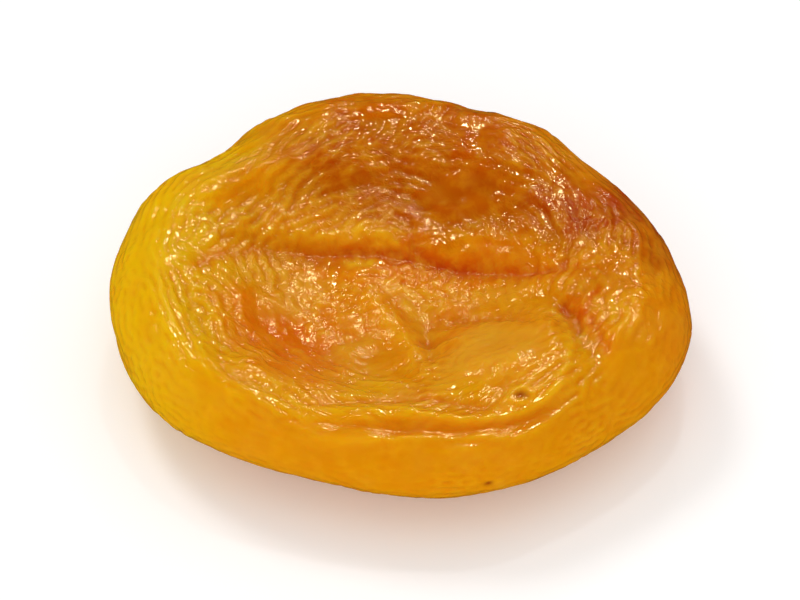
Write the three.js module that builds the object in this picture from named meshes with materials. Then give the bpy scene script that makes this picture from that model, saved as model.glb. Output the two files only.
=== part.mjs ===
// A whole dried apricot, pitted and pressed flat, lying on its belly. It is one piece of dried flesh.
// Millimetres. X runs along the fruit's long side, Y from its low front to its plump back, Z up.
import * as THREE from "three";
import { ImprovedNoise } from "three/addons/math/ImprovedNoise.js";
import { mergeVertices } from "three/addons/utils/BufferGeometryUtils.js";

const { smoothstep, degToRad } = THREE.MathUtils;

// Driving dimensions of the fruit before its faces sank in.
const LENGTH = 43.2;
const WIDTH = 38.6;
const OUTLINE_HEIGHT = 5.6; // of the widest line round the fruit, above the table
const TOP_RISE = 7.5; // of the upper face above that line, halfway from front to back
const BACK_RISE = 2.3; // what the back gains over that, and the front loses
const BELLY_DROP = 5.85; // of the underside; what passes the table is pressed flat
const TOP_FULLNESS = 2.6; // superellipse exponents of the cross-section
const BELLY_FULLNESS = 2.3;

// Where the fruit leaves a plain ellipse: waves round it, their height and where each is highest.
const OUTLINE_WAVES = [
  { count: 1, height: 0.35, at: -111 },
  { count: 2, height: 0.48, at: -45 },
  { count: 3, height: 0.36, at: -35 },
  { count: 4, height: 0.25, at: 0 },
  { count: 6, height: 0.2, at: -15 },
];
// Local swellings and slack places, with the half width of each in degrees round the fruit.
const OUTLINE_SWELLINGS = [
  { at: 54, spread: 12, height: 1 },
  { at: 112, spread: 13, height: 0.55 },
  { at: 140, spread: 8, height: -0.55 },
  { at: 159, spread: 8, height: 0.5 },
];

// The pit left by the stem end, which closed to a puckered slit in the back of the rim.
const STEM = { at: 64, below: 0.3, radius: 3.1, depth: 1.7, slitDepth: 1, slitHalfHeight: 0.8 };
const PUCKERS = { count: 9, height: 0.26 };
const SEAM = { from: 64, to: 205, runIn: 12, runOut: 30, depth: 0.45, halfWidth: 0.9 };

// The upper face: wide dents and cushions, as ovals that fade from full height to nothing.
const HOLLOW = { at: [-0.6, -1], radii: [20, 17], fade: [0.25, 1], height: -4.9 };
const BASIN = { at: [-0.5, -5.5], radii: [16.5, 10.5], fade: [0.5, 1.1], height: -0.5 };
const BASIN_WALL = 1.3; // width of the steep wall behind the basin, which rises from the crease
const TOP_OVALS = [
  { at: [-8.8, -6], radii: [6.5, 4.6], fade: [0, 1], height: -0.45 }, // deepest, left of the middle
  { at: [7.2, -8.4], radii: [5.6, 5.8], fade: [0.45, 1], height: 1 }, // cushion right of the fold
  { at: [4.5, 6.6], radii: [6, 2.8], fade: [0.2, 1], height: -0.4 }, // smooth patch behind the crease
  { at: [-2.2, 4.2], radii: [3.8, 1.6], fade: [0.1, 1], height: 0.15 }, // thick lip over the crease
  { at: [8.7, -13.9], radii: [1.8, 1.4], fade: [0, 1], height: 0.45 }, // small mound round a scar
  { at: [-15.5, 12.5], radii: [6, 4], fade: [0, 1], height: -0.8 }, // slack shoulder
  { at: [16, -9.8], radii: [1.9, 3.2], fade: [0.1, 1], height: 0.5 }, // swelling inside the right rim
];

// Creases (height below 0) and ridges, each along a curve through its points.
const CREASE_LINE = [
  [-16.5, -1.8], [-14.1, 0.4], [-11.3, 1.7], [-8.8, 2.4], [-5, 2.4], [-0.6, 2.2],
  [5.5, 0.8], [9, -0.1], [14.5, -0.9],
];
const TOP_FOLDS = [
  { points: CREASE_LINE, halfWidth: 0.8, height: -0.38 },
  { points: [[-14, 2.6], [-11, 3.9], [-8, 4.2], [-4, 4], [0.8, 3.8]], halfWidth: 0.9, height: 0.25 },
  { points: [[3.4, 2.9], [5.2, 2.6], [7.8, 2.2], [10, 1.8]], halfWidth: 0.9, height: 0.2 },
  {
    points: [[-2.9, -0.2], [-1.2, -3.5], [0.4, -6.2], [1.6, -9.5], [2.5, -11.8]],
    halfWidth: 1, height: 0.6,
  },
  { points: [[1.2, -0.8], [2.2, -4.8], [2.4, -9]], halfWidth: 1.1, height: -0.45 },
  { points: [[3.2, -3.9], [6.6, -4.8], [9.7, -5.4]], halfWidth: 0.8, height: -0.45 },
  {
    points: [[10, -4.4], [11.1, -6.4], [11.7, -9.6], [11.5, -12.4], [10.2, -14.4]],
    halfWidth: 0.9, height: 0.45,
  },
  {
    points: [[10.8, -2.6], [11.9, -4.8], [12.7, -6.8], [14, -9], [14.8, -11.2]],
    halfWidth: 0.8, height: -0.45,
  },
  {
    points: [[-11, -12.4], [-6.5, -14.6], [-0.7, -14.4], [5.1, -15.4], [8.6, -12.8]],
    halfWidth: 0.75, height: -0.55,
  },
  {
    points: [[-8, -14.8], [-0.7, -15.6], [5.1, -16.6], [9, -15.4], [12, -13]],
    halfWidth: 0.75, height: 0.45,
  },
  {
    points: [[-10, -15.2], [-0.7, -16.9], [5.1, -17.4], [9.4, -15.9], [12.4, -13.8]],
    halfWidth: 0.75, height: -0.5,
  },
  {
    points: [[-11, -15.8], [-3.7, -18], [5.3, -18.4], [10.2, -16.8], [14.4, -12.5]],
    halfWidth: 0.8, height: 0.4,
  },
  { points: [[15.6, -9], [16.4, -8.2], [17.6, -6], [17.8, -1]], halfWidth: 0.9, height: 0.35 },
  { points: [[-17.8, 2], [-17.8, -4], [-15.6, -9.4], [-12, -14]], halfWidth: 1, height: 0.4 },
  { points: [[-15.8, -2.6], [-15, -6], [-12.8, -9.6]], halfWidth: 1, height: -0.45 },
  { points: [[-17.2, 3.4], [-14.7, 5.6], [-11, 8.4], [-4, 10.6]], halfWidth: 1, height: 0.4 },
  { points: [[-15, 3.6], [-10, 6.4], [-3, 8], [5, 8.6]], halfWidth: 0.9, height: -0.35 },
  { points: [[-13, 9.8], [-6, 12.4], [2, 13], [9, 11]], halfWidth: 1, height: -0.3 },
];
const BELLY_FOLDS = [
  { points: [[21, 2], [14, 1], [8.4, 2.4]], halfWidth: 1.3, height: -0.8 },
  { points: [[-20.5, -4], [-14, -2], [-8.6, -2.8]], halfWidth: 1.4, height: -0.9 },
  { points: [[12, -15], [8, -9.6], [3.8, -7.4]], halfWidth: 1.1, height: -0.6 },
  { points: [[-9, -16.6], [-7.4, -10], [-5, -7]], halfWidth: 1.1, height: -0.6 },
  { points: [[4, 18], [3, 12], [0.6, 7.4]], halfWidth: 1.2, height: -0.8 },
  { points: [[-13, 13], [-8.6, 9.4], [-7, 5.6]], halfWidth: 1.2, height: -0.6 },
  { points: [[15, 10.6], [10, 8.4], [6.8, 6]], halfWidth: 1.1, height: -0.5 },
  { points: [[-16, 7], [-11.4, 2.6], [-11, -1.4], [-14.6, -8]], halfWidth: 1.2, height: 0.4 },
  { points: [[16.4, -8], [11.6, -4.4], [11.8, 0], [15, 6]], halfWidth: 1.2, height: 0.4 },
];

// Share of the rise, or of the drop, over which the folds and dents come in from the rim.
const RELIEF_FADE = [0.2, 0.75];

// Lumps that the drying left everywhere, and the fine wrinkles of the skin, at one width each.
const LUMPS = { size: 9, height: 0.55 };
const WRINKLES = { width: 2.3, height: 0.2, stretch: 3, seedSize: 1.3 };
const WRINKLE_GROWTH = { steps: 150, step: 0.09, drive: 0.45, shortestEdge: 0.4 };

// Where the skin is less wrinkled: on the rim, in patches, and where it is pressed flat.
const RIM_STRETCH = { reach: 1.02, spread: 0.1, loss: 0.7 };
const PATCHES = { size: 6, mean: 0.75, swing: 0.5 };
const CONTACT_FADE = [1.5, 1.7];

const SPHERE_DETAIL = 23; // 20 x 24 x 24 triangles
const SECTION_STEPS = 600;
const TOP_SHARE = 1.25; // how much denser the upper face's points lie than the underside's

const noise = new ImprovedNoise();

// Degrees between an angle in radians and one in degrees, the short way round.
function apart(angle, degrees) {
  return THREE.MathUtils.euclideanModulo(THREE.MathUtils.radToDeg(angle) - degrees + 180, 360) - 180;
}

// Plan radius of the widest line, in the direction of an angle from +X.
function outlineRadius(angle) {
  const ellipse = 1 / Math.hypot(Math.cos(angle) / (LENGTH / 2), Math.sin(angle) / (WIDTH / 2));
  const wave = ({ count, height, at }) => height * Math.cos(count * (angle - degToRad(at)));
  const waves = OUTLINE_WAVES.reduce((sum, w) => sum + wave(w), 0);
  const swelling = ({ at, spread, height }) => height * Math.exp(-((apart(angle, at) / spread) ** 2));
  return ellipse + waves + OUTLINE_SWELLINGS.reduce((sum, s) => sum + swelling(s), 0);
}

// Share of the full rise (or drop) at a share of the outline's radius.
function sectionHeight(reach, fullness) {
  return Math.pow(Math.max(0, 1 - Math.pow(reach, fullness)), 1 / fullness);
}

// The cross-section, over the rim to the belly's middle, with the surface passed so far.
function crossSection() {
  const radius = (LENGTH + WIDTH) / 4;
  const rows = [];
  let passed = 0;
  for (let i = 0; i <= SECTION_STEPS; i++) {
    const turn = (Math.PI * i) / SECTION_STEPS;
    const top = i <= SECTION_STEPS / 2;
    const reach = Math.pow(Math.sin(turn), 2 / (top ? TOP_FULLNESS : BELLY_FULLNESS));
    const height = top
      ? TOP_RISE * sectionHeight(reach, TOP_FULLNESS)
      : -BELLY_DROP * sectionHeight(reach, BELLY_FULLNESS);
    if (i > 0) {
      const before = rows[i - 1];
      const slant = Math.hypot((reach - before.reach) * radius, height - before.height);
      passed += slant * (reach + before.reach) * (top ? TOP_SHARE : 1);
    }
    rows.push({ reach, height, passed });
  }
  return rows;
}

// The row of the cross-section up to which a share of the surface is passed, from 0 at the top to 1.
function rowAt(rows, share) {
  const wanted = share * rows[rows.length - 1].passed;
  let low = 0;
  let high = rows.length - 1;
  while (high - low > 1) {
    const middle = (low + high) >> 1;
    if (rows[middle].passed < wanted) low = middle;
    else high = middle;
  }
  const part = (wanted - rows[low].passed) / (rows[high].passed - rows[low].passed);
  return {
    reach: THREE.MathUtils.lerp(rows[low].reach, rows[high].reach, part),
    height: THREE.MathUtils.lerp(rows[low].height, rows[high].height, part),
  };
}

// An oval's height at a place: full inside its fade, nothing outside it.
function ovalHeight({ at, radii, fade, height }, x, y) {
  const distance = Math.hypot((x - at[0]) / radii[0], (y - at[1]) / radii[1]);
  return height * (1 - smoothstep(distance, fade[0], fade[1]));
}

// A smooth curve through plan points, as short straight stretches.
function curveThrough(points) {
  const curve = new THREE.CatmullRomCurve3(points.map(([x, y]) => new THREE.Vector3(x, y, 0)));
  return curve.getSpacedPoints(points.length * 5);
}

// The nearest place on a curve: how far away it is, and its share of the way along.
function nearestOn(curve, x, y) {
  let distance = Infinity;
  let along = 0;
  for (let i = 0; i + 1 < curve.length; i++) {
    const [a, b] = [curve[i], curve[i + 1]];
    const [dx, dy] = [b.x - a.x, b.y - a.y];
    const t = THREE.MathUtils.clamp(((x - a.x) * dx + (y - a.y) * dy) / (dx * dx + dy * dy), 0, 1);
    const away = Math.hypot(x - a.x - t * dx, y - a.y - t * dy);
    if (away < distance) {
      distance = away;
      along = (i + t) / (curve.length - 1);
    }
  }
  return { distance, along };
}

const withCurves = (folds) => folds.map((fold) => ({ ...fold, curve: curveThrough(fold.points) }));

// A fold is a rounded groove or ridge that runs out at both its ends.
function foldHeight({ curve, halfWidth, height }, x, y) {
  const { distance, along } = nearestOn(curve, x, y);
  if (distance > 3 * halfWidth) return 0;
  const runOut = Math.sqrt(Math.sin(Math.PI * THREE.MathUtils.clamp(along, 0.02, 0.98)));
  return height * runOut * Math.exp(-((distance / halfWidth) ** 2));
}

const topFolds = withCurves(TOP_FOLDS);
const bellyFolds = withCurves(BELLY_FOLDS);
const creaseLine = curveThrough(CREASE_LINE);

// How far in front of the crease a place is; the basin's floor lies wholly in front.
function inFrontOfCrease(x, y) {
  const near = creaseLine.reduce((best, p) => (Math.abs(p.x - x) < Math.abs(best.x - x) ? p : best));
  return near.y - y;
}

// What the upper face gains or loses in height at a place.
function topRelief(x, y) {
  const basin = ovalHeight(BASIN, x, y) * smoothstep(inFrontOfCrease(x, y), -BASIN_WALL, 0);
  const dents = TOP_OVALS.reduce((sum, oval) => sum + ovalHeight(oval, x, y), ovalHeight(HOLLOW, x, y));
  return dents + basin + topFolds.reduce((sum, fold) => sum + foldHeight(fold, x, y), 0);
}

// The same for the underside, where what it gains points down.
function bellyRelief(x, y) {
  return bellyFolds.reduce((sum, fold) => sum + foldHeight(fold, x, y), 0);
}

// The fruit's closed skin, spread evenly from a sphere's points, with its dents and cushions.
function bodySkin() {
  const sphere = new THREE.IcosahedronGeometry(1, SPHERE_DETAIL);
  sphere.deleteAttribute("normal");
  sphere.deleteAttribute("uv");
  const skin = mergeVertices(sphere, 1e-5);
  const rows = crossSection();
  const points = skin.attributes.position;
  const reaches = new Float32Array(points.count);
  for (let i = 0; i < points.count; i++) {
    const angle = Math.atan2(points.getY(i), points.getX(i));
    const { reach, height } = rowAt(rows, (1 - points.getZ(i)) / 2);
    const radius = reach * outlineRadius(angle);
    const [x, y] = [radius * Math.cos(angle), radius * Math.sin(angle)];
    let z = OUTLINE_HEIGHT + height;
    if (height > 0) {
      z += BACK_RISE * (y / (WIDTH / 2)) * (height / TOP_RISE);
      z += topRelief(x, y) * smoothstep(height / TOP_RISE, ...RELIEF_FADE);
    } else {
      z -= bellyRelief(x, y) * smoothstep(-height / BELLY_DROP, ...RELIEF_FADE);
    }
    points.setXYZ(i, x, y, z);
    reaches[i] = height > 0 ? reach : 2 - reach; // 0 on top, 1 on the outline, 2 under the belly
  }
  skin.computeVertexNormals();
  return { skin, reaches };
}

// Moves each point of the skin along its normal by what a rule gives for that place.
function raise(skin, heightAt) {
  const points = skin.attributes.position;
  const normals = skin.attributes.normal;
  const place = new THREE.Vector3();
  const normal = new THREE.Vector3();
  const moved = new Float32Array(points.array.length);
  for (let i = 0; i < points.count; i++) {
    place.fromBufferAttribute(points, i);
    normal.fromBufferAttribute(normals, i);
    place.addScaledVector(normal, heightAt(place, i)).toArray(moved, 3 * i);
  }
  points.array.set(moved);
  skin.computeVertexNormals();
}

// The puckered slit at the stem end, and the seam that runs from it round the rim.
function stemEnd(place) {
  const angle = Math.atan2(place.y, place.x);
  const radius = outlineRadius(angle);
  const along = (angle - degToRad(STEM.at)) * radius;
  const above = place.z - OUTLINE_HEIGHT + STEM.below;
  const distance = Math.hypot(along, above) / STEM.radius;
  const outside = smoothstep(Math.hypot(place.x, place.y) / radius, 0.5, 0.8);
  const dimple = -STEM.depth * Math.exp(-2 * distance ** 2);
  const slit = -STEM.slitDepth * Math.exp(-((above / STEM.slitHalfHeight) ** 2) - 1.5 * distance ** 2);
  const puckered = distance * Math.exp(1 - distance ** 2);
  const pucker = PUCKERS.height * Math.cos(PUCKERS.count * Math.atan2(above, along)) * puckered;
  const turn = THREE.MathUtils.euclideanModulo(THREE.MathUtils.radToDeg(angle), 360);
  const begun = smoothstep(turn, SEAM.from, SEAM.from + SEAM.runIn);
  const ended = smoothstep(turn, SEAM.to - SEAM.runOut, SEAM.to);
  const seam = -SEAM.depth * begun * (1 - ended) * Math.exp(-((above / SEAM.halfWidth) ** 2));
  return outside * (dimple + slit + pucker + seam);
}

// Each point's neighbours, with the weight that each has in the surface's second derivative.
// Weights are larger along the rim, so wrinkles grow long that way.
function neighbourWeights(skin, reaches) {
  const points = skin.attributes.position;
  const neighbours = Array.from({ length: points.count }, () => new Map());
  const [a, b, along] = [new THREE.Vector3(), new THREE.Vector3(), new THREE.Vector3()];
  const { array } = skin.index;
  for (let i = 0; i < array.length; i++) {
    const [from, to] = [array[i], i % 3 === 2 ? array[i - 2] : array[i + 1]];
    a.fromBufferAttribute(points, from);
    b.fromBufferAttribute(points, to);
    along.set(-a.y / WIDTH, a.x / LENGTH, 0).normalize();
    const edge = b.clone().sub(a);
    const length = Math.max(edge.length(), WRINKLE_GROWTH.shortestEdge);
    const nearRim = smoothstep(1 - Math.abs(1 - reaches[from]), 0.2, 0.6);
    const aligned = nearRim * edge.normalize().dot(along) ** 2;
    const weight = ((2 / 3) * (1 + (WRINKLES.stretch - 1) * aligned)) / length ** 2;
    neighbours[from].set(to, weight);
    neighbours[to].set(from, weight);
  }
  return neighbours.map((map) => [...map]);
}

// Wrinkles of a skin on shrinking flesh: seeded noise in which one width outgrows all others.
// This is the Swift-Hohenberg equation, u' = drive u - (1 + k^2 laplacian)^2 u - u^3.
function growWrinkles(skin, reaches) {
  const points = skin.attributes.position;
  const neighbours = neighbourWeights(skin, reaches);
  const scale = (WRINKLES.width / (2 * Math.PI)) ** 2;
  const laplacian = (field, i) => neighbours[i].reduce((sum, [j, w]) => sum + w * (field[j] - field[i]), 0);
  const bend = (field) => field.map((value, i) => value + scale * laplacian(field, i));
  const size = WRINKLES.seedSize;
  let field = new Float64Array(points.count).map((_, i) =>
    noise.noise(points.getX(i) / size, points.getY(i) / size, points.getZ(i) / size),
  );
  const { steps, step, drive } = WRINKLE_GROWTH;
  for (let n = 0; n < steps; n++) {
    const bent = bend(bend(field));
    field = field.map((u, i) => u + step * (drive * u - bent[i] - u ** 3));
  }
  const highest = field.reduce((most, u) => Math.max(most, Math.abs(u)), 0);
  return field.map((u) => u / highest);
}

// How strongly the skin is wrinkled at a place, where 1 is the full height.
function wrinkling({ x, y, z }, reach) {
  const { size, mean, swing } = PATCHES;
  const rim = 1 - RIM_STRETCH.loss * Math.exp(-(((reach - RIM_STRETCH.reach) / RIM_STRETCH.spread) ** 2));
  const patches = mean + swing * noise.noise(x / size + 9, y / size, z / size);
  return rim * patches * (1 - smoothstep(reach, ...CONTACT_FADE));
}

function apricotGeometry() {
  const { skin, reaches } = bodySkin();
  const size = LUMPS.size;
  raise(skin, (p) => LUMPS.height * noise.noise(p.x / size, p.y / size + 3, p.z / size) + stemEnd(p));
  const wrinkles = growWrinkles(skin, reaches);
  raise(skin, (p, i) => WRINKLES.height * wrinkles[i] * wrinkling(p, reaches[i]));
  restOnTable(skin);
  return skin;
}

// Presses flat what passes the table, and puts the origin under the middle of the fruit.
function restOnTable(skin) {
  const points = skin.attributes.position;
  for (let i = 0; i < points.count; i++) points.setZ(i, Math.max(0, points.getZ(i)));
  skin.computeBoundingBox();
  const middle = skin.boundingBox.getCenter(new THREE.Vector3());
  skin.translate(-middle.x, -middle.y, 0);
  skin.computeVertexNormals();
}

const flesh = new THREE.MeshStandardMaterial({ color: 0xd6821a, roughness: 0.36, metalness: 0 });

const apricot = new THREE.Mesh(apricotGeometry(), flesh);
apricot.name = "dried_apricot";

const fruit = new THREE.Group();
fruit.add(apricot);

export default fruit;
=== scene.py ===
"""Looks of a dried apricot: its skin with fine wrinkles and scars, translucent flesh, and a plain studio.

Places on the fruit are in millimetres in the part's frame: X along its long side, Y to its plump back, Z up.
"""

import math
from collections import namedtuple

import bpy
import numpy as np
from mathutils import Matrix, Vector, noise


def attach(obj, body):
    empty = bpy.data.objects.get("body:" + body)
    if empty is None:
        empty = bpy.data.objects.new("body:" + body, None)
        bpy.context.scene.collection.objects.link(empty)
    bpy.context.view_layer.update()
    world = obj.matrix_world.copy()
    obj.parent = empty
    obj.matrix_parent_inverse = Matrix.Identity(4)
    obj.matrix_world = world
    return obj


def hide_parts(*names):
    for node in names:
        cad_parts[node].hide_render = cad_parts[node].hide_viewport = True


MM = 0.001
NODE = "dried_apricot"

# The fruit's outline, the height of its widest line, and the heights between which marks fade in.
HALF_LENGTH, HALF_WIDTH = 22.0, 19.6
RIM_HEIGHT = 5.6
RIM_SPREAD = 0.14  # of the outer rim, as a share of the fruit's half width
UPPER_FACE = (4, 6.5)  # for what only the upper face has
CONTACT = (0.05, 0.5)  # for all relief, because the table presses the skin flat
OVAL_CORE = 0.25  # share of an oval's half sizes within which it is at full strength

# The skin: how often the solid's faces are split in four, and the wrinkles that grow on it.
SUBDIVISIONS = 2
WRINKLE_WIDTH = 1.0
WRINKLE_HEIGHT = 0.062
WRINKLE_SEED_SIZE = 0.5
WRINKLE_DRIVE = 0.35
WRINKLE_STEP = 0.04
WRINKLE_STEPS = 260
ALONG_DAMPING = 0.5  # of what changes along an ordered wrinkle
SHORTEST_STEP = 0.17  # closer neighbours count as this far apart, so that the growth stays stable
FULL_HEIGHT_PERCENTILE = 99.5
CREST_ROUNDNESS = 1.5
RIM_SMOOTHING = 0.45  # share of the wrinkles' height that the outer rim loses
CONTACT_WRINKLING = 0.25  # share that is left where the skin is pressed flat
PATCH_MEAN, PATCH_SWING, PATCH_LIMITS = 0.95, 0.9, (0.4, 1.5)

# The finest wrinkles are the shader's: how much longer than wide they are, and how far apart, in mm.
GRAIN_STRETCH = 3.0
GRAIN_WIDTH = 0.42
GRAIN_HEIGHT = 0.048
GRAIN_LIMIT = 1.5
LOOSE_GRAIN_WIDTH = 1.5 * GRAIN_WIDTH  # where they wander any way
GRAIN_DISTORTION, LOOSE_GRAIN_DISTORTION = 0.3, 0.4
GRAIN_NOISE = {"Detail": 1.2, "Roughness": 0.5, "Lacunarity": 2.2, "Offset": 0.9, "Gain": 1.6}
GRAIN_STRAY = 1.3  # how far the flow of the wrinkles strays from the rim's, in millimetres
FLOW_TURN = 0.9  # how far it turns from the rim's, in radians

# Noise over the skin: the width of its swells in millimetres, and a seed.
FLOW_NOISE = (5, 140)
GRAIN_STRAY_NOISE = (4, 160)
ORDER_NOISE = (4, 120)
PATCH_NOISE = (4, 11)
GLOSS_NOISE = (3, 180)
MOTTLE_NOISE = (2.2, 100)
TINT_STRAY_NOISE = ((4, 20), (4, 40))  # in X and in Y
FINE_TINT_STRAY_NOISE = ((1.4, 60), (1.4, 80))

# Where wrinkles lie along the rim (1) or wander any way (0), and where the skin is smooth (0) or
# wrinkled (1). Each oval is its middle, its half sizes and the value in its middle; it fades out at its edge.
WRINKLE_ORDER = 0.5
ORDER_SWING = 0.9
RIM_DISORDER = 0.5
CENTRE = (0.15, 0.4)  # shares of the fruit's half width between which the order comes in
ORDER_OVALS = [
    ((-3, 9), (16, 7), 1.0),
    ((12, -2), (7, 7), 0.05),
    ((-2, -4), (13, 7), 0.0),
    ((7.4, -9.2), (8, 6), 0.0),
    ((2, -16), (15, 3), 1.0),
]
WRINKLING = 1.0
WRINKLING_OVALS = [
    ((-5, 8.5), (14, 6), 1.3),
    ((4.4, 6.4), (5, 2.6), 0.3),
    ((-1, -5), (13, 7), 0.5),
    ((7.4, -8.6), (4.6, 4.4), 0.4),
    ((13.4, 0), (6, 8), 1.0),
    ((15, 6), (5, 5), 0.9),
    ((-9, 5), (6, 2.6), 1.7),
]

# How glossy the skin is, from dull (0) to sticky (1), in the same way.
GLOSS = 0.55
GLOSS_SWING = 0.9
GLOSS_OVALS = [
    ((-3, 8.5), (17, 8), 1.1),
    ((13.5, -2), (6, 7), 1.0),
    ((-18, 2), (5, 8), 1.0),
    ((-1, -4), (14, 9), 0.1),
    ((7.4, -8.6), (5.4, 5.2), 0.2),
    ((16, 5), (6, 7), 0.15),
]
DULL_ROUGHNESS, STICKY_ROUGHNESS = 0.26, 0.07

# Sharp creases and thin folds that the solid's faces are too coarse for. Each is a curve in plan, its half
# width and height, the red of the painted shade in its groove and the paleness of the painted highlight on
# its crest.
Fold = namedtuple("Fold", "line half_width height red pale", defaults=(0, 0))
FOLDS = [
    # The long crease, the lip above it with its notch, and the Y-shaped fold with its trough.
    Fold([(-9.6, 2.2), (-5.1, 2.4), (-0.6, 2.2), (5.5, 0.8), (10, -0.6), (14, -1.3)], 0.3, -0.2, red=1.0),
    Fold([(-14.2, 2.5), (-11.1, 3.3), (-8.3, 3.6), (-4.4, 3.4), (0.2, 3.3)], 0.5, 0.12, pale=0.3),
    Fold([(0.8, 3.9), (1.2, 3), (1, 2.3)], 0.4, -0.25, red=0.5),
    Fold([(-2.8, -0.8), (-1.2, -3.6), (0.4, -6.3), (1.6, -10.3)], 0.8, 0.05, pale=0.35),
    Fold([(1.6, -2.4), (2.1, -5.2), (2.3, -8.8)], 0.6, -0.12, red=0.3),
    # The groove behind the cushion, the crack beside it, and the fold on the crack's right.
    Fold([(3.2, -3.6), (6.7, -4.5), (9.7, -6.3)], 0.36, -0.12, red=0.3),
    Fold([(11.8, -4), (12.4, -5.1), (13, -6.4), (13.2, -7.8)], 0.36, -0.5, red=0.9),
    Fold([(13.7, -5.9), (14.5, -7.8), (15.3, -10.2)], 0.3, -0.16, red=0.6),
    # The terraces inside the front rim.
    Fold(
        [(-6.5, -14.6), (-3.8, -14.2), (-0.7, -13.8), (2, -14), (5.1, -15.1), (6.9, -14.8), (8.2, -13)],
        0.32, -0.22, red=0.3,
    ),
    Fold([(-0.7, -15.4), (4.5, -16.6), (9, -15.5), (12, -13)], 0.3, 0.16, pale=0.3),
    Fold([(-5, -16.4), (-0.7, -16.9), (5.2, -17.1), (9.4, -15.9), (11.9, -14)], 0.28, -0.2, red=0.25),
    Fold([(-6.8, -17.1), (-3.7, -17.8), (2.6, -17.7), (9, -17), (14.4, -12.2)], 0.3, 0.16, pale=0.3),
    Fold([(1.3, -18.6), (5.4, -18.5), (7.5, -18), (9.2, -17)], 0.28, 0.12),
    # Ridges inside the left rim, a wrinkle right of the lip, and the crease's faint left end.
    Fold([(-18, -1.4), (-17.8, -4), (-16.4, -8)], 0.34, 0.12, pale=0.25),
    Fold([(-16.4, 5.3), (-14.8, 6.5), (-12.9, 7.9)], 0.4, 0.14, pale=0.3),
    Fold([(-12.8, -13.3), (-11.4, -14.7)], 0.4, 0.12),
    Fold([(3.4, 3.1), (5.1, 3.4), (7.6, 2.8), (10, 1.9)], 0.45, 0.14),
    Fold([(-15.8, -1.6), (-13.6, 0.5), (-9.6, 2.1)], 0.25, -0.1, red=0.5),
    # The cushion's edge.
    Fold(
        [(11, -4.4), (12, -6.2), (12.4, -8), (12.4, -9.8), (12, -12), (11, -13.9), (9.8, -14.9)],
        0.35, 0.13, pale=0.5,
    ),
]
GROOVE_TINT_WIDTH = 2.8  # the painted shade's width in a groove, as a multiple of the fold's half width
GROOVE_DULL_WIDTH = 1.5

# Small scars: place, half sizes, depth. Only the upper face and the front have them.
SCARS = [
    ((8.7, -14.4, 9.5), (0.6, 0.3, 0.8), 0.2),
    ((6.4, -19.2, 5.4), (0.3, 0.3, 0.25), 0.12),
    ((-16.1, -12.9, 4.2), (0.28, 0.28, 0.3), 0.12),
    ((15.6, 8.2, 9.6), (0.3, 0.25, 0.5), 0.12),
    ((-6.4, 17.6, 8.6), (0.35, 0.25, 0.4), 0.15),
]
SCAR_TINTING = 1.1

# The first and largest scar is an eye with a raised pale edge: the edge's half sizes, height and softness.
EYE_SIZES, EYE_HEIGHT, EYE_SOFTNESS = (0.95, 0.6, 1.0), 0.05, 0.3
EYE_PALENESS = 0.4

# Colours as seen in soft daylight, 0 to 255.
GOLD = (220, 147, 6)
YELLOW = (228, 182, 10)
AMBER = (220, 132, 6)
DEEP_ORANGE = (190, 90, 3)
# A painted glow: the bright orange of thin flesh that light shines through from the table below.
PAINTED_GLOW = (222, 104, 3)
# The right shoulder's deep red-orange: partly the fruit's own colour, partly painted shadow and painted
# reflected colour of a neighbouring fruit.
SHADOWED_RED_ORANGE = (172, 62, 2)
# Painted shade in creases and the crack.
CREASE_SHADE_RED = (204, 72, 2)
# Pale bloom on the skin; on wrinkle crests the same colour is a painted highlight.
PALE_BLOOM_AND_HIGHLIGHT = (224, 158, 36)
PALE_GOLD = (236, 178, 26)
# Partly the flesh's own yellow, partly painted light where the lip above the crease catches the light.
LIP_YELLOW = (240, 186, 22)
SCAR_BROWN = (150, 58, 6)
BELLY = (216, 134, 8)

# Tints that come in across the golden fruit: direction in plan, where they begin and are full, colour and
# strength.
WIDE_TINTS = [
    ((-1, 0.25), (6, 17), YELLOW, 0.9),
    # Amber towards the right: partly the fruit's own colour, partly painted shade from a neighbouring fruit.
    ((1, 0.5), (10, 20), AMBER, 1.0),
    ((0, 1), (12, 19), DEEP_ORANGE, 0.6),
]
BELLY_TOP = (1, 3.5)  # heights between which the belly's tint fades out
BELLY_EDGE = (0.7, 0.95)  # the same outwards, as shares of the fruit's half width

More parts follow.
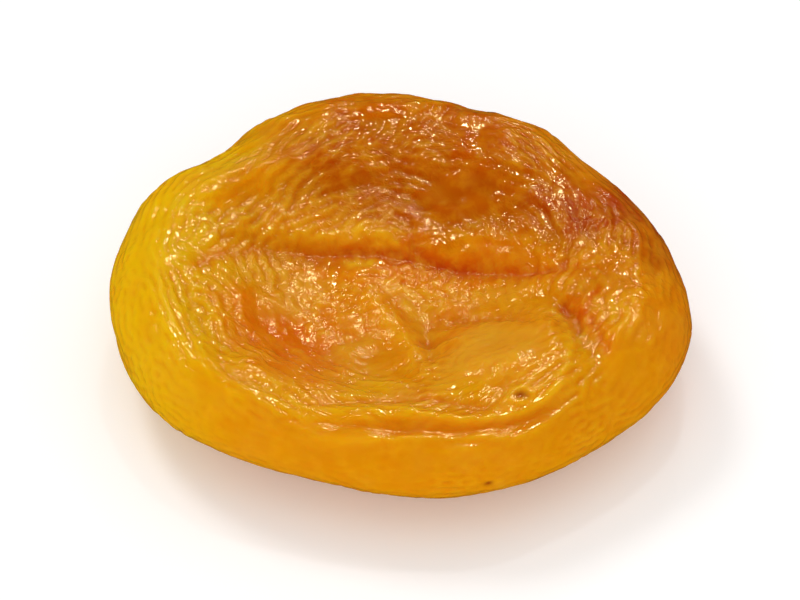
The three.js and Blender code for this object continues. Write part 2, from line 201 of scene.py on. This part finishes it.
# Tints of the upper face, laid one over the other: place, half sizes, colour, strength.
TINTS = [
    ((0, -2), (19, 16), AMBER, 1.0),
    ((0, 10.5), (17.5, 8.5), DEEP_ORANGE, 1.0),
    ((-9, 5.5), (9, 4.5), AMBER, 0.7),
    ((3, 12.5), (17, 8), SHADOWED_RED_ORANGE, 0.35),
    # The right shoulder, here and below: painted shadow of a neighbouring fruit over its own deep colour.
    ((10, 5.5), (9, 6.5), SHADOWED_RED_ORANGE, 0.6),
    # Painted glow of light through the thin basin and in front of the crease.
    ((-8.8, -6.8), (7, 6), PAINTED_GLOW, 0.9),
    ((-1, 1), (13, 2.4), PAINTED_GLOW, 0.5),
    ((-8.6, -1.3), (6.2, 3.2), PALE_BLOOM_AND_HIGHLIGHT, 0.45),
    ((-3.6, -8), (2.8, 5), PALE_BLOOM_AND_HIGHLIGHT, 0.35),
    ((7.2, -9), (5.8, 5.4), PALE_BLOOM_AND_HIGHLIGHT, 0.8),
    ((6.5, -2.2), (5.5, 2.6), PALE_BLOOM_AND_HIGHLIGHT, 0.4),
    # Painted light on the lip above the crease, over the flesh's yellow.
    ((-2.2, 3.6), (4, 1.5), LIP_YELLOW, 1.0),
    ((1, -1.2), (2.6, 1.6), LIP_YELLOW, 0.35),
    ((1, -12.6), (9, 2.2), PALE_BLOOM_AND_HIGHLIGHT, 0.5),
    ((2, -5.6), (1.3, 4), LIP_YELLOW, 0.5),
    ((14, -4), (4, 5), DEEP_ORANGE, 0.5),
    # Painted shade in the crack.
    ((13.3, -6.6), (1.3, 2.1), CREASE_SHADE_RED, 0.8),
    ((-9, 2.6), (8, 1.2), DEEP_ORANGE, 0.5),
    # Painted shadow of a neighbouring fruit on the right shoulder, over its own deep colour.
    ((14, 5), (6, 7), SHADOWED_RED_ORANGE, 1.0),
    ((19, 5), (6, 9), SHADOWED_RED_ORANGE, 1.0),
    ((0, -17.5), (17, 3.6), GOLD, 0.5),
    ((-3, -14.5), (15, 2.4), YELLOW, 0.35),
]
TINT_STRAY = 3.2  # how far their edges stray, in millimetres
FINE_TINT_STRAY = 0.4  # as a share of that

# Painted shade in the wrinkles' hollows, a painted highlight on their crests, and a mottle: where each begins
# and is full, and its strength.
HOLLOWS, HOLLOW_SHADE = (0.1, 0.9), 0.2
CRESTS, CREST_HIGHLIGHT = (0.45, 1.0), 0.22
CREST_HEIGHTS = (5, 8)  # above the table, between which the painted highlight on crests comes in
MOTTLE, MOTTLE_PALENESS, MOTTLE_DARKNESS = (0.1, 0.5), 0.16, 0.2

# The pale streaks that follow the finest wrinkles, and a painted highlight on their crests.
STREAK_WIDTH = 1.1
STREAK_DETAIL = 3
STREAK_CONTRAST, STREAK_THRESHOLD = 1.1, 0.54
GRAIN_HIGHLIGHT = 0.14

# The flesh under the skin, and the skin's gloss.
FLESH_SHARE = 0.85  # of the light, which goes into the flesh
FLESH_DEPTH = 0.006  # how far red light wanders in the flesh, in metres
FLESH_SPREAD = (1.0, 0.38, 0.05)  # the same for red, green and blue, as shares
SKIN_IOR = 1.45
SKIN_SPECULAR = 0.36
SKIN_SPECULAR_TINT = (1, 0.76, 0.32, 1)

FLOOR_HALF_SIZE = 3.0
FLOOR_COLOUR = (0.95, 0.95, 0.95, 1)
FLOOR_ROUGHNESS = 0.55
FLOOR_GLOW_COLOUR, FLOOR_GLOW = (1, 0.96, 0.9, 1), 0.12

# Soft light from everywhere, a lamp behind on the left, wide ones in front and above, and four small lamps
# that only glint. Each lamp is a disc: name, place and size in metres, watts, whether it glints, and whether
# it lights.
LIGHT_AIM = Vector((0, 0, 6 * MM))
LIGHTS = [
    ("key", (-0.26, 0.34, 0.52), 0.2, 1.0, False, True),
    ("fill", (-0.05, -0.65, 0.36), 0.6, 1.4, False, True),
    ("top", (0.0, 0.0, 0.8), 0.7, 0.3, False, True),
    ("window_glints", (-0.32, 0.24, 0.52), 0.08, 0.9, True, False),
    ("lamp_glints", (0.06, 0.27, 0.58), 0.04, 2.0, True, False),
    ("right_glints", (0.26, 0.24, 0.54), 0.05, 0.6, True, False),
    ("low_glints", (0.08, 0.50, 0.38), 0.05, 0.35, True, False),
]
SKY_TINT, SKY_STRENGTH = (1, 1, 1, 1), 0.66
REFLECTED_SKY_TINT, REFLECTED_SKY_STRENGTH = (1, 0.55, 0.12, 1), 0.1

# The camera: its height above the table's plane, its distance, and what it takes in.
CAMERA_ELEVATION = math.radians(43)
CAMERA_DISTANCE = 0.29
CAMERA_AIM = Vector((0, 0, 5.6 * MM))
CAMERA_CLIP = 0.01
SEEN_WIDTH = 60.7 * MM
SENSOR_WIDTH = 36


def linear(colour):
    """A colour of 0 to 255 as linear light."""
    c = np.array(colour, dtype=float) / 255
    return np.where(c <= 0.04045, c / 12.92, ((c + 0.055) / 1.055) ** 2.4)


def smooth(x, low, high):
    t = np.clip((x - low) / (high - low), 0, 1)
    return t * t * (3 - 2 * t)


def closed_mesh(obj):
    """Points in millimetres and triangles of an object's mesh, with points at one place joined."""
    mesh = obj.data
    mesh.calc_loop_triangles()
    raw = np.empty(len(mesh.vertices) * 3)
    mesh.vertices.foreach_get("co", raw)
    corners = np.empty(len(mesh.loop_triangles) * 3, dtype=np.int32)
    mesh.loop_triangles.foreach_get("vertices", corners)
    raw = raw.reshape(-1, 3) / MM
    _, first, joined = np.unique(np.round(raw, 3), axis=0, return_index=True, return_inverse=True)
    return raw[first], joined.reshape(-1)[corners].reshape(-1, 3)


def edges_of(triangles):
    """The edges of a closed mesh, and for each triangle the numbers of its edges ab, bc, ca."""
    pairs = np.sort(np.stack([triangles, np.roll(triangles, -1, axis=1)], axis=2), axis=2)
    edges, number = np.unique(pairs.reshape(-1, 2), axis=0, return_inverse=True)
    return edges, number.reshape(-1, 3)


def subdivide(points, triangles):
    """Loop's rule: each triangle becomes four, and the surface comes out smooth."""
    edges, number = edges_of(triangles)
    opposite = np.zeros((len(edges), 3))
    np.add.at(opposite, number, points[np.roll(triangles, 1, axis=1)])
    middles = 3 / 8 * points[edges].sum(axis=1) + opposite / 8
    around = np.zeros_like(points)
    np.add.at(around, edges, points[edges[:, ::-1]])
    valence = np.bincount(edges.ravel(), minlength=len(points))[:, None]
    share = np.where(valence == 3, 3 / 16, 3 / (8 * valence))
    kept = (1 - valence * share) * points + share * around
    a, b, c = triangles.T
    ab, bc, ca = (number + len(points)).T
    parts = [(a, ab, ca), (b, bc, ab), (c, ca, bc), (ab, bc, ca)]
    return np.vstack([kept, middles]), np.vstack([np.stack(part, axis=1) for part in parts])


def normals_of(points, triangles):
    a, b, c = (points[triangles[:, k]] for k in range(3))
    faces = np.cross(b - a, c - a)
    total = np.zeros_like(points)
    for k in range(3):
        np.add.at(total, triangles[:, k], faces)
    return total / np.linalg.norm(total, axis=1, keepdims=True)


class Neighbours:
    """Sums over the neighbours of each point, weighted as a second derivative on the surface."""

    def __init__(self, points, triangles, turn):
        edges, _ = edges_of(triangles)
        both = np.vstack([edges, edges[:, ::-1]])
        both = both[np.argsort(both[:, 0], kind="stable")]
        valence = np.bincount(both[:, 0], minlength=len(points))
        slot = np.arange(len(both)) - np.repeat(np.cumsum(valence) - valence, valence)
        self.near = np.repeat(np.arange(len(points))[:, None], valence.max(), axis=1)
        self.near[both[:, 0], slot] = both[:, 1]
        step = points[self.near] - points[:, None]
        length = np.linalg.norm(step, axis=2)
        real = length > 0
        length = np.maximum(length, SHORTEST_STEP)
        self.weights = np.where(real, 2 / 3 / length**2, 0).astype(np.float32)
        towards = np.arctan2(points[:, 0] / HALF_LENGTH, -points[:, 1] / HALF_WIDTH) + turn
        along = np.stack([np.cos(towards), np.sin(towards), 0 * towards], axis=1)
        aligned = np.einsum("nkd,nd->nk", step, along) / length
        self.along = np.where(real, (4 * aligned**2 - 1) / 3 / length**2, 0).astype(np.float32)

    def laplacian(self, field):
        return np.einsum("nk,nk->n", self.weights, field[self.near] - field[:, None])

    def along_rim(self, field):
        return np.einsum("nk,nk->n", self.along, field[self.near] - field[:, None])


def noise_at(points, size, seed=0.0):
    shift = Vector((seed, 0, 0))
    return np.array([noise.noise(Vector(p) / size + shift) for p in points])


def plan_noise(points, in_x, in_y):
    """Noise as shifts in X and Y."""
    return np.stack([noise_at(points, *in_x), noise_at(points, *in_y), np.zeros(len(points))], axis=1)


def oval(points, middle, half_sizes):
    """1 in an oval's middle, fading to 0 at its edge, on the upper face alone."""
    x = (points[:, 0] - middle[0]) / half_sizes[0]
    y = (points[:, 1] - middle[1]) / half_sizes[1]
    return (1 - smooth(np.hypot(x, y), OVAL_CORE, 1)) * smooth(points[:, 2], *UPPER_FACE)


def blended(points, ground, ovals):
    """A value that is the ground's, and goes over to each oval's value towards its middle."""
    value = np.full(len(points), float(ground))
    for middle, half_sizes, there in ovals:
        share = oval(points, middle, half_sizes)
        value += share * (there - value)
    return value


def curve_through(points, steps=8):
    """A Catmull-Rom curve through plan points, as short straight stretches."""
    p = np.array([points[0], *points, points[-1]], dtype=float)
    t = np.linspace(0, 1, steps, endpoint=False)[:, None]
    spans = []
    for a, b, c, d in zip(p, p[1:], p[2:], p[3:]):
        bend = (2 * a - 5 * b + 4 * c - d) * t**2 + (3 * b - a - 3 * c + d) * t**3
        spans.append((2 * b + (c - a) * t + bend) / 2)
    return np.vstack([*spans, p[-1:]])


def fold(points, line, half_width):
    """1 on a curve, falling off over its half width, and running out at both ends."""
    curve = curve_through(line)
    best = np.full(len(points), np.inf)
    along = np.zeros(len(points))
    for i, (a, b) in enumerate(zip(curve, curve[1:])):
        d = b - a
        t = np.clip(((points[:, :2] - a) @ d) / (d @ d), 0, 1)
        away = np.hypot(*(points[:, :2] - a - t[:, None] * d).T)
        nearer = away < best
        best[nearer] = away[nearer]
        along[nearer] = (i + t[nearer]) / (len(curve) - 1)
    run_out = np.sqrt(np.sin(np.pi * np.clip(along, 0.01, 0.99)))
    return run_out * np.exp(-((best / half_width) ** 2)) * smooth(points[:, 2], *UPPER_FACE)


def away_from(points, middle, half_sizes):
    return np.linalg.norm((points - middle) / half_sizes, axis=1)


def scar(points, middle, half_sizes):
    return np.exp(-(away_from(points, middle, half_sizes) ** 2))


def eye_edge(points):
    eye_place = SCARS[0][0]
    return np.exp(-(((away_from(points, eye_place, EYE_SIZES) - 1) / EYE_SOFTNESS) ** 2))


def reach_of(points):
    """0 at the fruit's middle, seen from above, and 1 on its outline."""
    return np.hypot(points[:, 0] / HALF_LENGTH, points[:, 1] / HALF_WIDTH)


def grain_of(points, reach):
    """Coordinates for the finest wrinkles: round the rim and over it from face to face, stretched along."""
    angle = np.arctan2(points[:, 1] / HALF_WIDTH, points[:, 0] / HALF_LENGTH)
    radius = (HALF_LENGTH + HALF_WIDTH) / 2
    over = radius * np.where(points[:, 2] > RIM_HEIGHT, reach, 2 - reach)
    over += GRAIN_STRAY * noise_at(points, *GRAIN_STRAY_NOISE)
    round_rim = radius / GRAIN_STRETCH
    return np.stack([round_rim * np.cos(angle), round_rim * np.sin(angle), over], axis=1)


def grow_wrinkles(points, near, order):
    """Seeded noise in which one width outgrows all others, as it does in a skin on shrinking flesh.

    This is the Swift-Hohenberg equation; order damps what changes along the rim.
    """
    scale = (WRINKLE_WIDTH / (2 * math.pi)) ** 2
    field = noise_at(points, WRINKLE_SEED_SIZE).astype(np.float32)
    damping = (ALONG_DAMPING * scale * order).astype(np.float32)
    for _ in range(WRINKLE_STEPS):
        bent = field + scale * near.laplacian(field)
        bent = bent + scale * near.laplacian(bent)
        growth = WRINKLE_DRIVE * field - bent - field**3 + damping * near.along_rim(field)
        field = field + WRINKLE_STEP * growth
    return field / np.percentile(np.abs(field), FULL_HEIGHT_PERCENTILE)


def gloss_of(points):
    """From dull (0) to sticky (1); grooves are duller."""
    gloss = blended(points, GLOSS, GLOSS_OVALS) + GLOSS_SWING * noise_at(points, *GLOSS_NOISE)
    for groove in FOLDS:
        if groove.red:
            gloss -= fold(points, groove.line, GROOVE_DULL_WIDTH * groove.half_width)
    return np.clip(gloss, 0, 1)


def colour_of(points, reach, relief):
    """The skin's colour: yellow rim, orange faces, pale bloom and brown scars, with painted shade in creases,
    hollows and on the right shoulder, painted highlights on crests and a painted glow in the thin basin.
    """
    def lay(colour, share):
        nonlocal tint
        tint = tint + np.clip(share, 0, 1)[:, None] * (linear(colour) - tint)

    tint = np.tile(linear(GOLD), (len(points), 1))
    for (in_x, in_y), (low, high), colour, strength in WIDE_TINTS:
        lay(colour, strength * smooth(in_x * points[:, 0] + in_y * points[:, 1], low, high))
    lay(BELLY, (1 - smooth(points[:, 2], *BELLY_TOP)) * (1 - smooth(reach, *BELLY_EDGE)))

    stray = plan_noise(points, *TINT_STRAY_NOISE)
    stray += FINE_TINT_STRAY * plan_noise(points, *FINE_TINT_STRAY_NOISE)
    strayed = points + TINT_STRAY * stray
    for middle, half_sizes, colour, strength in TINTS:
        lay(colour, strength * oval(strayed, middle, half_sizes))

    # Painted shade in the folds' grooves, and a painted highlight on their crests.
    for groove in FOLDS:
        if groove.red:
            lay(CREASE_SHADE_RED, groove.red * fold(points, groove.line, groove.half_width * GROOVE_TINT_WIDTH))
    for crest in FOLDS:
        if crest.pale:
            lay(PALE_GOLD, crest.pale * fold(points, crest.line, crest.half_width))
    # Painted shade in the wrinkles' hollows, and a painted highlight on their crests.
    lay(DEEP_ORANGE, HOLLOW_SHADE * smooth(-relief, *HOLLOWS))
    lay(PALE_BLOOM_AND_HIGHLIGHT, CREST_HIGHLIGHT * smooth(relief, *CRESTS) * smooth(points[:, 2], *CREST_HEIGHTS))

    mottle = noise_at(points, *MOTTLE_NOISE)
    lay(PALE_BLOOM_AND_HIGHLIGHT, MOTTLE_PALENESS * smooth(mottle, *MOTTLE))
    lay(AMBER, MOTTLE_DARKNESS * smooth(-mottle, *MOTTLE))
    for middle, half_sizes, _ in SCARS:
        lay(SCAR_BROWN, SCAR_TINTING * scar(points, middle, half_sizes))
    lay(PALE_GOLD, EYE_PALENESS * eye_edge(points))
    return tint


def make_skin(node):
    """The fruit's skin as points and triangles, with the colour, grain and fineness of each point."""
    points, triangles = closed_mesh(node)
    for _ in range(SUBDIVISIONS):
        points, triangles = subdivide(points, triangles)
    near = Neighbours(points, triangles, FLOW_TURN * noise_at(points, *FLOW_NOISE))
    reach = reach_of(points)
    contact = smooth(points[:, 2], *CONTACT)
    rim = np.exp(-(((reach - 1) / RIM_SPREAD) ** 2))

    order = blended(points, WRINKLE_ORDER, ORDER_OVALS) + ORDER_SWING * noise_at(points, *ORDER_NOISE)
    order = np.clip(order, 0, 1) * smooth(reach, *CENTRE) * (1 - RIM_DISORDER * rim)
    wrinkles = grow_wrinkles(points, near, order)
    rounded = 1 - 2 * (np.clip(1 - wrinkles, 0, 2) / 2) ** CREST_ROUNDNESS
    patches = np.clip(PATCH_MEAN + PATCH_SWING * noise_at(points, *PATCH_NOISE), *PATCH_LIMITS)
    amount = blended(points, WRINKLING, WRINKLING_OVALS) * patches * (1 - RIM_SMOOTHING * rim)
    amount *= CONTACT_WRINKLING + (1 - CONTACT_WRINKLING) * contact

    height = WRINKLE_HEIGHT * amount * rounded
    for line, half_width, rise, _, _ in FOLDS:
        height += rise * fold(points, line, half_width)
    for middle, half_sizes, depth in SCARS:
        height -= depth * scar(points, middle, half_sizes)
    height += EYE_HEIGHT * eye_edge(points)

    fine_amount = np.clip(amount * contact, 0, GRAIN_LIMIT)
    layers = {
        "tint": colour_of(points, reach, wrinkles * amount),
        "grain": grain_of(points, reach),
        "fineness": np.stack([order, fine_amount, gloss_of(points)], axis=1),
    }
    points = points + normals_of(points, triangles) * (height * contact)[:, None]
    points[:, 2] = np.maximum(points[:, 2], 0)
    return points, triangles, layers


def flesh_material():
    """Translucent flesh under a slightly sticky skin; its colour and the grain's flow come from the mesh."""
    material = bpy.data.materials.new("apricot_flesh")
    material.use_nodes = True
    nodes, links = material.node_tree.nodes, material.node_tree.links
    shader = nodes["Principled BSDF"]
    shader.inputs["IOR"].default_value = SKIN_IOR
    shader.inputs["Specular IOR Level"].default_value = SKIN_SPECULAR
    shader.inputs["Specular Tint"].default_value = SKIN_SPECULAR_TINT
    shader.inputs["Subsurface Weight"].default_value = FLESH_SHARE
    shader.inputs["Subsurface Scale"].default_value = FLESH_DEPTH
    shader.inputs["Subsurface Radius"].default_value = FLESH_SPREAD

    def node(kind, **settings):
        made = nodes.new(kind)
        for name, value in settings.items():
            setattr(made, name, value)
        return made

    def calculated(operation, a, b, c=0.0):
        made = node("ShaderNodeMath", operation=operation)
        for socket, value in zip(made.inputs, (a, b, c)):
            if isinstance(value, (int, float)):
                socket.default_value = value
            else:
                links.new(value, socket)
        return made.outputs[0]

    def noise_node(coordinates, width, values, **settings):
        made = node("ShaderNodeTexNoise", **settings)
        made.inputs["Scale"].default_value = 1 / width
        for name, value in values.items():
            made.inputs[name].default_value = value
        links.new(coordinates, made.inputs["Vector"])
        return made.outputs[0]

    def wrinkle_noise(coordinates, width, distortion):
        values = {**GRAIN_NOISE, "Distortion": distortion}
        return noise_node(coordinates, width, values, noise_type="RIDGED_MULTIFRACTAL")

    def by_order(ordered, loose):
        """The ordered value where the wrinkles lie along the rim, the loose one where they wander."""
        return calculated("MULTIPLY_ADD", order, calculated("SUBTRACT", ordered, loose), loose)

    tint = node("ShaderNodeAttribute", attribute_name="tint")
    grain = node("ShaderNodeAttribute", attribute_name="grain").outputs["Vector"]
    fineness = node("ShaderNodeAttribute", attribute_name="fineness")
    place = node("ShaderNodeTexCoord")
    in_millimetres = node("ShaderNodeVectorMath", operation="SCALE")
    in_millimetres.inputs["Scale"].default_value = 1 / MM
    links.new(place.outputs["Object"], in_millimetres.inputs[0])
    everywhere = in_millimetres.outputs[0]
    parted = node("ShaderNodeSeparateXYZ")
    links.new(fineness.outputs["Vector"], parted.inputs[0])
    order, fine_amount, gloss = parted.outputs

    along = wrinkle_noise(grain, GRAIN_WIDTH, GRAIN_DISTORTION)
    anyhow = wrinkle_noise(everywhere, LOOSE_GRAIN_WIDTH, LOOSE_GRAIN_DISTORTION)
    height = calculated("MULTIPLY", by_order(along, anyhow), fine_amount)
    bump = node("ShaderNodeBump")
    bump.inputs["Strength"].default_value = 1
    bump.inputs["Distance"].default_value = GRAIN_HEIGHT * MM
    links.new(height, bump.inputs["Height"])
    links.new(bump.outputs["Normal"], shader.inputs["Normal"])

    less_rough = STICKY_ROUGHNESS - DULL_ROUGHNESS
    roughness = calculated("MULTIPLY_ADD", gloss, less_rough, DULL_ROUGHNESS)
    links.new(roughness, shader.inputs["Roughness"])

    streaks = noise_node(grain, STREAK_WIDTH, {"Detail": STREAK_DETAIL})
    clouds = noise_node(everywhere, STREAK_WIDTH, {"Detail": STREAK_DETAIL})
    paleness = calculated("MULTIPLY_ADD", by_order(streaks, clouds), STREAK_CONTRAST, -STREAK_THRESHOLD)
    # Paler along the streaks, and on the finest wrinkles' crests as a painted highlight.
    paler = node("ShaderNodeMix", data_type="RGBA", blend_type="MIX")
    links.new(calculated("MULTIPLY_ADD", height, GRAIN_HIGHLIGHT, paleness), paler.inputs["Factor"])
    links.new(tint.outputs["Color"], paler.inputs["A"])
    paler.inputs["B"].default_value = (*linear(PALE_GOLD), 1)
    links.new(paler.outputs["Result"], shader.inputs["Base Color"])
    return material


def make_fruit(node):
    points, triangles, layers = make_skin(node)
    mesh = bpy.data.meshes.new("apricot_skin")
    mesh.from_pydata((points * MM).tolist(), [], triangles.tolist())
    mesh.shade_smooth()
    tint = mesh.color_attributes.new("tint", "FLOAT_COLOR", "POINT")
    rgba = np.ones((len(points), 4), dtype=np.float32)
    rgba[:, :3] = layers["tint"]
    tint.data.foreach_set("color", rgba.ravel())
    for name in ("grain", "fineness"):
        layer = mesh.attributes.new(name, "FLOAT_VECTOR", "POINT")
        layer.data.foreach_set("vector", layers[name].astype(np.float32).ravel())
    mesh.materials.append(flesh_material())
    fruit = bpy.data.objects.new("apricot_skin", mesh)
    bpy.context.collection.objects.link(fruit)
    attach(fruit, "root")
    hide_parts(NODE)


def make_floor():
    mesh = bpy.data.meshes.new("floor")
    h = FLOOR_HALF_SIZE
    mesh.from_pydata([(-h, -h, 0), (h, -h, 0), (h, h, 0), (-h, h, 0)], [], [(0, 1, 2, 3)])
    material = bpy.data.materials.new("floor_white")
    material.use_nodes = True
    shader = material.node_tree.nodes["Principled BSDF"]
    shader.inputs["Base Color"].default_value = FLOOR_COLOUR
    shader.inputs["Roughness"].default_value = FLOOR_ROUGHNESS
    shader.inputs["Emission Color"].default_value = FLOOR_GLOW_COLOUR
    shader.inputs["Emission Strength"].default_value = FLOOR_GLOW
    mesh.materials.append(material)
    floor = bpy.data.objects.new("floor", mesh)
    bpy.context.collection.objects.link(floor)
    floor.visible_glossy = False


def make_lights():
    for name, place, size, watts, glints, lights in LIGHTS:
        data = bpy.data.lights.new(name, "AREA")
        data.shape = "DISK"
        data.size = size
        data.energy = watts
        lamp = bpy.data.objects.new(name, data)
        lamp.location = place
        lamp.rotation_euler = (LIGHT_AIM - Vector(place)).to_track_quat("-Z", "Y").to_euler()
        lamp.visible_glossy = glints
        lamp.visible_diffuse = lights
        bpy.context.collection.objects.link(lamp)


def make_sky():
    """A white sky that the skin reflects as a dimmer, warmer one."""
    world = bpy.data.worlds.new("studio")
    world.use_nodes = True
    nodes, links = world.node_tree.nodes, world.node_tree.links
    path = nodes.new("ShaderNodeLightPath")
    dimmed = nodes.new("ShaderNodeMapRange")
    dimmed.inputs["To Min"].default_value = SKY_STRENGTH
    dimmed.inputs["To Max"].default_value = REFLECTED_SKY_STRENGTH
    links.new(path.outputs["Is Glossy Ray"], dimmed.inputs["Value"])
    links.new(dimmed.outputs[0], nodes["Background"].inputs["Strength"])
    warmed = nodes.new("ShaderNodeMix")
    warmed.data_type = "RGBA"
    warmed.inputs["A"].default_value = SKY_TINT
    warmed.inputs["B"].default_value = REFLECTED_SKY_TINT
    links.new(path.outputs["Is Glossy Ray"], warmed.inputs["Factor"])
    links.new(warmed.outputs["Result"], nodes["Background"].inputs["Color"])
    bpy.context.scene.world = world


def make_camera():
    data = bpy.data.cameras.new("camera")
    data.sensor_width = SENSOR_WIDTH
    data.lens = SENSOR_WIDTH * CAMERA_DISTANCE / SEEN_WIDTH
    data.clip_start = CAMERA_CLIP
    camera = bpy.data.objects.new("camera", data)
    back = Vector((0, -math.cos(CAMERA_ELEVATION), math.sin(CAMERA_ELEVATION)))
    camera.location = CAMERA_AIM + back * CAMERA_DISTANCE
    camera.rotation_euler = (-back).to_track_quat("-Z", "Y").to_euler()
    bpy.context.collection.objects.link(camera)
    bpy.context.scene.camera = camera


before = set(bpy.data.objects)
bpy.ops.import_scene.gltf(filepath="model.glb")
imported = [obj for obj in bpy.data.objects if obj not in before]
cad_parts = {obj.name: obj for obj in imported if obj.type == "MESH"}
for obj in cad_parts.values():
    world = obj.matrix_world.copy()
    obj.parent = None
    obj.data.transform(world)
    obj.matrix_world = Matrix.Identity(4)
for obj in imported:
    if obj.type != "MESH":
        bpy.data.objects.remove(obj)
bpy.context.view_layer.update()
make_fruit(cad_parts[NODE])
make_floor()
make_lights()
make_sky()
make_camera()
bpy.context.scene.view_settings.view_transform = "Standard"
bpy.context.view_layer.update()
